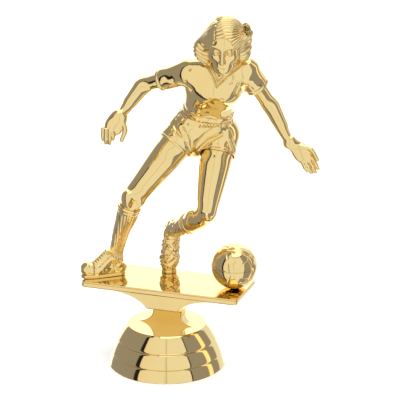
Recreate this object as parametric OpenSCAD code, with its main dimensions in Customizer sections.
// Figure trophy: a gold soccer player on a plank, over a stepped round pedestal.
// Millimetres, +Z up. The origin is the centre of the pedestal's underside, on the
// axis of the captive nut, and X runs along the plank, away from the striking foot.
// "Right" and "left" are the player's own.

/* [Pedestal] */
// Diameter of the pedestal's foot
base_d = 44.5; // [40:0.5:60]
// Height of the pedestal, foot to flat top
base_h = 16; // [15:0.5:20]
// Diameter of the pedestal's flat top
top_d = 30; // [28:0.5:34]
// Wall thickness of the hollow pedestal
wall = 1.8; // [1.2:0.1:2]
// Outer diameter of the boss that holds the nut
boss_d = 17; // [16:0.5:18]
// Number of webs between the boss and the wall
web_count = 6; // [3:1:8]

/* [Hardware] */
// Width across flats of the captive nut, 1/4-20 UNC
nut_af = 11.1; // [11:0.1:11.2]
// Height of the captive nut
nut_h = 5.6; // [5:0.1:6]
// Tap-size radius of the nut's thread, 1/4-20 UNC
thread_r = 2.6; // [2.5:0.05:2.7]

/* [Stem] */
// Width of the stem's foot, along X
stem_foot_w = 24; // [20:0.5:26]
// Width of the stem's waist, along X
stem_waist_w = 11.5; // [10:0.5:14]
// Thickness of the stem's foot, along Y
stem_foot_t = 4; // [3:0.25:6]
// How far the stem leans along X, from foot to shoulder
stem_lean = 1.5; // [0:0.1:2]

/* [Plank] */
// Length of the plank
plank_l = 62; // [58:0.5:68]
// Width of the plank
plank_w = 24.5; // [22:0.5:28]
// Thickness of the plank
plank_t = 2.5; // [2.4:0.1:3]
// Offset of the plank's middle from the pedestal's axis, along X
plank_x = 0.8; // [0:0.1:2]
// Height of the plank's top above the ground
plank_z = 33.2; // [32:0.2:35]

/* [Ball] */
// Diameter of the ball
ball_d = 17.2; // [16:0.2:18]
// Wall thickness of the hollow ball
ball_wall = 1.2; // [1:0.1:1.5]

/* [Figure] */
// Radius of the thighs where they leave the shorts
thigh_r = 6.2; // [5.8:0.1:6.4]
// Radius of the knees
knee_r = 4.2; // [3.8:0.1:4.6]
// Radius of the ankles, in their socks
ankle_r = 2.9; // [2.7:0.1:3.1]
// Radius of the arms at the elbows
elbow_r = 3; // [2.7:0.1:3.2]
// Radius of the arms at the wrists
wrist_r = 1.9; // [1.7:0.1:2.1]
// Height of the head from chin to crown, without the hair
head_h = 18; // [17:0.5:19]
// Facets around the soft shapes
soft_fn = 20; // [16:2:24]

/* [Joints] */
// Radius of the glued pins under the boots and the ball
pin_r = 1.3; // [1:0.1:1.4]
// Depth of the glued pins in the plank
pin_depth = 1.4; // [1:0.1:1.6]
// Glue gap around pins, spigots and tenons
gap = 0.08; // [0.05:0.01:0.15]

/* [Hidden] */
$fn = 96;
BIG = 80;
GOLD = "goldenrod";

// Pedestal tiers, as fractions of the height and of the way from foot to top radius
base_r = base_d / 2;
top_r = top_d / 2;
tier_z = [0, 0.3 * base_h, 0.63 * base_h, base_h];
tier_r = [base_r, base_r - 0.24 * (base_r - top_r), base_r - 0.53 * (base_r - top_r), top_r];
tier_step = 0.4;
tier_bulge = [9, 9, 6];
boss_r = boss_d / 2;
rod_r = 3.5;
rod_top = base_h - 4;
nut_r = nut_af / 2 / cos(30);

// Stem and plank
plank_under = plank_z - plank_t;
stem_waist_low = base_h + 4.5;
stem_waist_high = base_h + 6.3;
stem_spread = 17;
stem_shoulder_z = base_h + 9.5;
stem_top_half = plank_w / 2 - 1;
tenon = [13, 3];
top_tenon = [20, 6];
tenon_h = 3;
top_tenon_h = 1.2;

// Ball
ball_r = ball_d / 2;
ball_at = [26.8, 0.4, plank_z + ball_r];
ball_pin_r = 1.6;

// The player's joints
hips = [12, 10.5, 91];
waist = [14, 7, 99];
chest = [19.5, -1.5, 109];
neck = [22.5, -7, 116];
skull = [26.8, -12.6, 126.8];
right_shoulder = [11, -7.5, 115];
right_elbow = [-6, -5.4, 109];
right_wrist = [-12, -14.5, 99];
left_shoulder = [32, -3.5, 116.3];
left_elbow = [38, 5, 103];
left_wrist = [46.5, 2.5, 90];
right_hip = [6.5, 7.5, 91];
right_knee = [-11, -7, 66];
right_ankle = [-20.4, -0.6, 41.4];
left_hip = [17, 13.5, 88.5];
left_knee = [17, -2.7, 61.4];
left_ankle = [-2.5, 13, 48.5];

// Where one garment ends and the next begins, as fractions along a limb
right_hem = 0.25;
left_hem = 0.26;
right_cuff = 0.2;
left_cuff = 0.45;
right_sleeve = 0.62;
left_sleeve = 0.48;

// The head's own directions: crown, face and the left ear
head_up = unit([0.08, -0.25, 0.95]);
head_face = unit(cross(unit(cross([0.2, -0.98, -0.3], head_up)), head_up) * -1);
head_left = cross(head_up, head_face);

function mix(a, b, t) = a + (b - a) * t;
function unit(v) = v / norm(v);

// Puts its children at p, with their +Z along d
module look(p, d) {
    translate(p)
        rotate([0, acos(d.z / norm(d)), atan2(d.y, d.x)])
            children();
}

module ball(p, r) {
    translate(p)
        sphere(r, $fn = soft_fn);
}

// A limb through stations of [centre, radius]
module limb(stations) {
    for (i = [0 : len(stations) - 2])
        hull() {
            ball(stations[i][0], stations[i][1]);
            ball(stations[i + 1][0], stations[i + 1][1]);
        }
}

module blob(stations) {
    hull()
        for (s = stations)
            ball(s[0], s[1]);
}

// Everything beyond the plane through p with the normal d
module beyond(p, d) {
    look(p, d)
        translate([-BIG / 2, -BIG / 2, 0])
            cube(BIG);
}

// A glued spigot that stands out of the plane at p, and its socket
module spigot(p, d, r, h) {
    look(p - d * 0.5, d)
        cylinder(r = r, h = h + 0.5, $fn = 24);
}

module socket(p, d, r, h) {
    look(p - d * gap, d)
        cylinder(r = r + gap, h = h + 2 * gap, $fn = 24);
}

module plank_pin(p) {
    translate([p.x, p.y, plank_z - pin_depth])
        cylinder(r = pin_r, h = pin_depth + 1, $fn = 24);
}

// ---- Pedestal -------------------------------------------------------------------

// One convex tier's outline, from its foot up: an arc that turns by twice its bulge
function tier(i, steps = 8) =
    let (bulge = tier_bulge[i],
         foot = [tier_r[i] + (i > 0 ? tier_step : 0), tier_z[i]],
         top = [tier_r[i + 1], tier_z[i + 1]],
         slope = atan((foot.x - top.x) / (top.y - foot.y)),
         r = norm(top - foot) / (2 * sin(bulge)),
         centre = foot - r * [cos(slope - bulge), sin(slope - bulge)])
    [for (k = [0 : steps])
        let (a = slope + bulge * (2 * k / steps - 1))
            centre + r * [cos(a), sin(a)]];

module pedestal_outside() {
    rotate_extrude()
        polygon(concat([[0, 0], [base_r, 0]], tier(0), tier(1), tier(2), [[0, base_h]]));
}

// The hollow under the pedestal, between the wall and the boss
module pedestal_hollow() {
    rotate_extrude()
        polygon([[boss_r, -1], [base_r - wall, -1], [base_r - wall, 1],
                 [tier_r[1] - wall, tier_z[1]], [tier_r[2] - wall, tier_z[2]],
                 [top_r - wall, base_h - wall], [boss_r, base_h - wall]]);
}

module pedestal_webs() {
    intersection() {
        for (i = [0 : web_count - 1])
            rotate([0, 0, 360 * i / web_count + 30])
                translate([0, -wall / 2, base_h / 4])
                    cube([base_r, wall, base_h]);
        pedestal_outside();
    }
}

module pedestal() {
    color(GOLD)
        difference() {
            union() {
                difference() {
                    pedestal_outside();
                    pedestal_hollow();
                }
                pedestal_webs();
            }
            translate([0, 0, -1])
                cylinder(r = nut_r + gap, h = nut_h + 1, $fn = 6);
            cylinder(r = rod_r, h = rod_top);
            translate([-tenon.x / 2 - gap, -tenon.y / 2 - gap, base_h - tenon_h - gap])
                cube([tenon.x + 2 * gap, tenon.y + 2 * gap, tenon_h + 1]);
        }
}

module captive_nut() {
    color("silver")
        difference() {
            intersection() {
                cylinder(r = nut_r, h = nut_h, $fn = 6);
                cylinder(r1 = nut_af / 2 + 1.7 * nut_h, r2 = nut_af / 2, h = nut_h);
            }
            translate([0, 0, -1])
                cylinder(r = thread_r, h = nut_h + 2);
        }
}

// ---- Stem and plank -------------------------------------------------------------

// Half widths of the stem, as [x, z]: a quarter ellipse from its foot in to the waist,
// and another from the waist out under the plank
function stem_side(steps = 10) = concat(
    [for (k = [0 : steps])
        let (a = 90 * k / steps)
            [stem_foot_w / 2 - (stem_foot_w - stem_waist_w) / 2 * sin(a),
             stem_waist_low - (stem_waist_low - base_h) * cos(a)]],
    [for (k = [0 : steps])
        let (a = 90 * k / steps)
            [stem_waist_w / 2 + stem_spread * (1 - cos(a)),
             stem_waist_high + (plank_under - stem_waist_high) * sin(a)]]
);

// How far the stem's middle has leaned at height z
function lean(z) = stem_lean * min(1, (z - base_h) / (stem_shoulder_z - base_h));

function stem_front() = let (side = stem_side(), n = len(side)) concat(
    [for (p = side) [lean(p[1]) + p[0], p[1]]],
    [for (i = [1 : n]) let (p = side[n - i]) [lean(p[1]) - p[0], p[1]]]
);

// Half the stem's depth, s of the way up to its shoulder: nearly upright, then flaring out
function stem_deep(s) = let (knee = 0.6, slim = stem_foot_t / 2 + 1, t = (s - knee) / (1 - knee))
    s < knee ? mix(stem_foot_t / 2, slim, s / knee) : mix(slim, stem_top_half, t * t * (3 - 2 * t));

// Half of the stem's end outline: out to the shoulder, which is almost as deep as the plank
// is wide, and straight up from there
function stem_end(steps = 20) = concat(
    [for (k = [0 : steps]) let (s = k / steps) [stem_deep(s), mix(base_h, stem_shoulder_z, s)]],
    [[stem_top_half, plank_under], [0, plank_under], [0, base_h]]
);

module both_sides() {
    children();
    mirror([1, 0])
        children();
}

module stem() {
    color(GOLD) {
        intersection() {
            rotate([90, 0, 0])
                linear_extrude(height = plank_w, center = true)
                    polygon(stem_front());
            rotate([90, 0, 90])
                linear_extrude(height = plank_l, center = true)
                    both_sides()
                        polygon(stem_end());
        }
        translate([-tenon.x / 2, -tenon.y / 2, base_h - tenon_h])
            cube([tenon.x, tenon.y, tenon_h + 1]);
        translate([-top_tenon.x / 2, -top_tenon.y / 2, plank_under - 1])
            cube([top_tenon.x, top_tenon.y, top_tenon_h + 1]);
    }
}

module plank() {
    corner = 1.2;
    color(GOLD)
        difference() {
            translate([plank_x, 0, plank_under])
                linear_extrude(height = plank_t)
                    union() {
                        square([plank_l - 2 * corner, plank_w], center = true);
                        square([plank_l, plank_w - 2 * corner], center = true);
                        for (sx = [-1, 1])
                            for (sy = [-1, 1])
                                translate([sx * (plank_l / 2 - corner), sy * (plank_w / 2 - corner)])
                                    circle(r = corner, $fn = 48);
                    }
            translate([-top_tenon.x / 2 - gap, -top_tenon.y / 2 - gap, plank_under - 1])
                cube([top_tenon.x + 2 * gap, top_tenon.y + 2 * gap, top_tenon_h + gap + 1]);
            for (p = [right_boot_pin, left_boot_pin])
                translate([p.x, p.y, plank_z - pin_depth - gap])
                    cylinder(r = pin_r + gap, h = pin_depth + 1, $fn = 24);
            translate([ball_at.x, ball_at.y, plank_z - pin_depth - gap])
                cylinder(r = ball_pin_r + gap, h = pin_depth + 1, $fn = 24);
        }
}

// ---- Ball -----------------------------------------------------------------------

lap_h = 0.8;
lap_r = ball_r - ball_wall / 2;

module ball_shell() {
    difference() {
        sphere(r = ball_r);
        sphere(r = ball_r - ball_wall);
    }
}

// Lower half, with the outer half of the lap joint and the pin into the plank
module ball_lower_shell() {
    color(GOLD)
        translate(ball_at) {
            difference() {
                ball_shell();
                translate([0, 0, lap_h])
                    cylinder(r = BIG, h = BIG);
                cylinder(r = lap_r + gap, h = BIG);
            }
            translate([0, 0, -ball_r - pin_depth])
                cylinder(r = ball_pin_r, h = pin_depth + ball_wall / 2, $fn = 24);
        }
}

module ball_upper_shell() {
    color(GOLD)
        translate(ball_at)
            difference() {
                ball_shell();
                translate([0, 0, gap - BIG])
                    cylinder(r = BIG, h = BIG);
                translate([0, 0, gap - BIG])
                    difference() {
                        cylinder(r = BIG, h = BIG + lap_h);
                        cylinder(r = lap_r - gap, h = BIG + lap_h);
                    }
            }
}

// ---- Boots and socks ------------------------------------------------------------

right_boot_pin = [-25, -3.6];
left_boot_pin = [-2.4, 9.3];
right_boot_top = right_ankle + [-0.5, -0.5, -0.4];
right_boot_dir = unit([0.35, 0.25, 1]);
left_boot_top = [-2.4, 12.2, 46];
left_boot_dir = unit([-0.1, 0.2, 1]);
ankle_spigot_r = 1.6;
ankle_spigot_h = 2.5;

module sole_flat() {
    translate([-BIG / 2, -BIG / 2, plank_z])
        cube(BIG);
}

module right_boot() {
    ankle = [right_ankle, ankle_r + 0.1];
    heel = [[-19.4, 0.9, 35.9], 2.7];
    instep = [[-23, -3.8, 41.2], 2.4];
    ball_of_foot = [[-27.4, -5.6, 36.6], 3.1];
    toe = [[-29.8, -6.9, 36], 2.8];
    color(GOLD) {
        difference() {
            intersection() {
                union() {
                    blob([ankle, heel, instep]);
                    blob([heel, instep, ball_of_foot]);
                    blob([ball_of_foot, toe]);
                }
                sole_flat();
            }
            beyond(right_boot_top, right_boot_dir);
            socket(right_boot_top, -right_boot_dir, ankle_spigot_r, ankle_spigot_h);
        }
        plank_pin(right_boot_pin);
    }
}

module left_boot() {
    ankle = [left_ankle, ankle_r + 0.3];
    heel = [[-3.4, 15.2, 44.4], 2.7];
    instep = [[-2.6, 11.2, 43], 3.1];
    ball_of_foot = [[-2.4, 10, 38.2], 3.7];
    toe = [[-2.4, 9.2, 36.2], 3];
    color(GOLD) {
        difference() {
            intersection() {
                union() {
                    blob([ankle, heel, instep]);
                    blob([heel, instep, ball_of_foot]);
                    blob([ball_of_foot, toe]);
                }
                sole_flat();
            }
            beyond(left_boot_top, left_boot_dir);
            socket(left_boot_top, -left_boot_dir, ankle_spigot_r, ankle_spigot_h);
        }
        plank_pin(left_boot_pin);
    }
}

shin_spigot_r = 2.4;
shin_spigot_h = 3;
cuff_thick = 0.4;

// A sock from its cuff, below the knee, to the top of the boot. The shin is the middle
// of the calf, [place, radius], since a lower leg bows a little
module sock(knee, ankle, cuff, calf, shin, boot_top, boot_dir) {
    d = unit(ankle - knee);
    color(GOLD) {
        difference() {
            limb([[mix(knee, ankle, cuff - 0.15), calf + cuff_thick],
                  [mix(knee, ankle, cuff + 0.05), calf + cuff_thick],
                  shin,
                  [ankle, ankle_r],
                  [boot_top - boot_dir * 2, ankle_r]]);
            beyond(mix(knee, ankle, cuff), -d);
            socket(mix(knee, ankle, cuff), d, shin_spigot_r, shin_spigot_h);
            beyond(boot_top, -boot_dir);
        }
        spigot(boot_top, -boot_dir, ankle_spigot_r, ankle_spigot_h);
    }
}

module right_sock() {
    shin = [[-17.3, -2.6, 52], 3.3];
    sock(right_knee, right_ankle, right_cuff, 4.1, shin, right_boot_top, right_boot_dir);
}

module left_sock() {
    shin = [mix(left_knee, left_ankle, 0.7), 3.6];
    sock(left_knee, left_ankle, left_cuff, 4.1, shin, left_boot_top, left_boot_dir);
}

// ---- Legs -----------------------------------------------------------------------

thigh_spigot_r = 4;
thigh_spigot_h = 4;

// A bare leg from the hem of the shorts, over the knee, to the cuff of the sock
module leg(hip, knee, ankle, hem, cuff, knee_r, calf) {
    thigh_dir = unit(knee - hip);
    shin_dir = unit(ankle - knee);
    color(GOLD) {
        difference() {
            limb([[mix(hip, knee, hem - 0.1), thigh_r + 0.2],
                  [mix(hip, knee, 0.45), thigh_r - 0.4],
                  [mix(hip, knee, 0.75), mix(thigh_r, knee_r, 0.65)],
                  [knee, knee_r],
                  [mix(knee, ankle, cuff), calf]]);
            beyond(mix(hip, knee, hem), -thigh_dir);
            beyond(mix(knee, ankle, cuff), shin_dir);
        }
        spigot(mix(hip, knee, hem), -thigh_dir, thigh_spigot_r, thigh_spigot_h);
        spigot(mix(knee, ankle, cuff), shin_dir, shin_spigot_r, shin_spigot_h);
    }
}

module right_leg() {
    leg(right_hip, right_knee, right_ankle, right_hem, right_cuff, knee_r + 0.3, 4.1);
}

module left_leg() {
    leg(left_hip, left_knee, left_ankle, left_hem, left_cuff, knee_r - 0.4, 4.2);
}

// ---- Shorts and jersey ----------------------------------------------------------

across = unit(left_shoulder - right_shoulder);
hips_across = unit(left_hip - right_hip);
crotch = [8, 9.4, 84];
waist_plane = mix(hips, waist, 0.78);
waist_across = unit([1, 0.35, -0.12]);
waist_dir = unit([0.24, -0.35, 0.8]);
waist_spigot_r = 4.5;
waist_spigot_h = 5;

module short_leg(hip, knee, hem, r) {
    limb([[hip, r - 0.2], [mix(hip, knee, hem + 0.1), r]]);
}

module shorts() {
    right_end = mix(right_hip, right_knee, right_hem);
    right_dir = unit(right_knee - right_hip);
    left_end = mix(left_hip, left_knee, left_hem);
    left_dir = unit(left_knee - left_hip);
    color(GOLD) {
        difference() {
            union() {
                blob([[right_hip, 6.6], [left_hip, 6.4], [crotch, 4],
                      [waist - hips_across * 2.8, 6], [waist + hips_across * 2.8, 6]]);
                difference() {
                    short_leg(right_hip, right_knee, right_hem, 7.4);
                    beyond(right_end, right_dir);
                }
                difference() {
                    short_leg(left_hip, left_knee, left_hem, 7);
                    beyond(left_end, left_dir);
                }
            }
            beyond(waist_plane, waist_dir);
            for (end = [[right_end, right_dir], [left_end, left_dir]]) {
                socket(end[0], -end[1], thigh_spigot_r, thigh_spigot_h);
                look(end[0], end[1])
                    cylinder(r = thigh_r + 0.4, h = BIG);
            }
        }
        spigot(waist_plane, waist_dir, waist_spigot_r, waist_spigot_h);
    }
}

neck_dir = unit(skull - neck);
neck_spigot_r = 2.6;
neck_spigot_h = 4;
arm_spigot_r = 1.8;
arm_spigot_h = 4;

module jersey() {
    right_end = mix(right_shoulder, right_elbow, right_sleeve);
    right_dir = unit(right_elbow - right_shoulder);
    left_end = mix(left_shoulder, left_elbow, left_sleeve);
    left_dir = unit(left_elbow - left_shoulder);
    color(GOLD)
        difference() {
            union() {
                blob([[waist_plane - waist_across * 3.2, 6.3], [waist_plane + waist_across * 3.2, 6.3],
                      [chest - across * 3.2, 6.6], [chest + across * 3.2, 6.6]]);
                blob([[chest - across * 3.2, 6.6], [chest + across * 3.2, 6.6],
                      [right_shoulder, 4.1], [left_shoulder, 4.1], [neck, 4.6]]);
                difference() {
                    limb([[right_shoulder, 4.2], [mix(right_shoulder, right_elbow, 0.8), 3.6]]);
                    beyond(right_end, right_dir);
                }
                difference() {
                    limb([[left_shoulder, 4.4], [mix(left_shoulder, left_elbow, 0.65), 4.1]]);
                    beyond(left_end, left_dir);
                }
            }
            beyond(waist_plane, -waist_dir);
            beyond(neck + neck_dir * 1.5, neck_dir);
            socket(waist_plane, waist_dir, waist_spigot_r, waist_spigot_h);
            socket(right_end, -right_dir, arm_spigot_r, arm_spigot_h);
            socket(left_end, -left_dir, arm_spigot_r, arm_spigot_h);
            socket(neck + neck_dir * 1.5, -neck_dir, neck_spigot_r, neck_spigot_h);
        }
}

// ---- Arms -----------------------------------------------------------------------

// An arm from the hem of the sleeve to the wrist
module arm(shoulder, elbow, wrist, sleeve) {
    d = unit(elbow - shoulder);
    difference() {
        limb([[mix(shoulder, elbow, sleeve - 0.15), elbow_r + 0.4],
              [elbow, elbow_r],
              [mix(elbow, wrist, 0.3), elbow_r],
              [wrist, wrist_r]]);
        beyond(mix(shoulder, elbow, sleeve), -d);
    }
    spigot(mix(shoulder, elbow, sleeve), -d, arm_spigot_r, arm_spigot_h);
}

module right_arm() {
    color(GOLD) {
        arm(right_shoulder, right_elbow, right_wrist, right_sleeve);
        blob([[right_wrist, wrist_r], [[-13, -16.5, 93.5], 1.7], [[-16.4, -15.5, 93.5], 1.5],
              [[-14.6, -18.5, 90], 1.3], [[-16.8, -17.5, 90], 1.2]]);
        limb([[[-12.2, -15.5, 95.5], 1.2], [[-11, -18, 91.5], 0.9]]);
    }
}

module left_arm() {
    color(GOLD) {
        arm(left_shoulder, left_elbow, left_wrist, left_sleeve);
        blob([[left_wrist, wrist_r], [[49.5, 1.6, 85.5], 1.5], [[52, 3, 88], 1.3],
              [[54, 1.6, 81.2], 1.1], [[56.2, 2.8, 82.6], 1]]);
        limb([[[48, 1.5, 87.5], 1.2], [[50, 0.4, 82.5], 0.9]]);
    }
}

// ---- Head and hair --------------------------------------------------------------

// A point given in the head's own directions
function in_head(left, face, up) = skull + head_left * left + head_face * face + head_up * up;

module head() {
    color(GOLD) {
        blob([[in_head(0, -1, 1.2), 0.37 * head_h], [in_head(0, 1.5, 0.8), 0.34 * head_h]]);
        blob([[in_head(-1.2, 2, 0), 0.3 * head_h], [in_head(1.2, 2, 0), 0.3 * head_h],
              [in_head(-0.8, 4.4, -7), 1.9], [in_head(0.8, 4.4, -7), 1.9]]);
        difference() {
            limb([[neck, 3.4], [in_head(0, -1.5, -3), 3.6]]);
            beyond(neck + neck_dir * 1.5, -neck_dir);
        }
        spigot(neck + neck_dir * 1.5, -neck_dir, neck_spigot_r, neck_spigot_h);
    }
}

// Combed hair: a cap over the skull, with a full wave over each ear and the nape
module hair() {
    color(GOLD)
        difference() {
            union() {
                blob([[in_head(0, -1.2, 1.6), 0.43 * head_h], [in_head(0, 1, 2), 0.37 * head_h]]);
                for (side = [-1, 1])
                    limb([[in_head(side * 5, -1, 1), 3.4], [in_head(side * 6, -1.6, -3.5), 3]]);
                blob([[in_head(-7.4, -2, -4.4), 2.6], [in_head(-8.6, -1.6, -2.6), 2.2]]);
                blob([[in_head(0, -4.4, -1), 4.4], [in_head(0, -4.6, -6), 3]]);
            }
            head_hollow();
        }
}

// The head, fuller by the glue gap, and all in front of the face, cut out of the hair
module head_hollow() {
    g = gap + 0.02;
    blob([[in_head(0, -1, 1.2), 0.37 * head_h + g], [in_head(0, 1.5, 0.8), 0.34 * head_h + g]]);
    blob([[in_head(-1.2, 2, 0), 0.3 * head_h + g], [in_head(1.2, 2, 0), 0.3 * head_h + g],
          [in_head(-0.8, 4.4, -7), 1.9 + g], [in_head(0.8, 4.4, -7), 1.9 + g]]);
    limb([[neck, 3.4 + g], [in_head(0, -1.5, -3), 3.6 + g]]);
    blob([[in_head(0, 6, -1), 4.6], [in_head(0, 9, -8), 6]]);
}

pedestal();
captive_nut();
stem();
plank();
ball_lower_shell();
ball_upper_shell();
right_boot();
right_sock();
right_leg();
left_boot();
left_sock();
left_leg();
shorts();
jersey();
right_arm();
left_arm();
head();
hair();
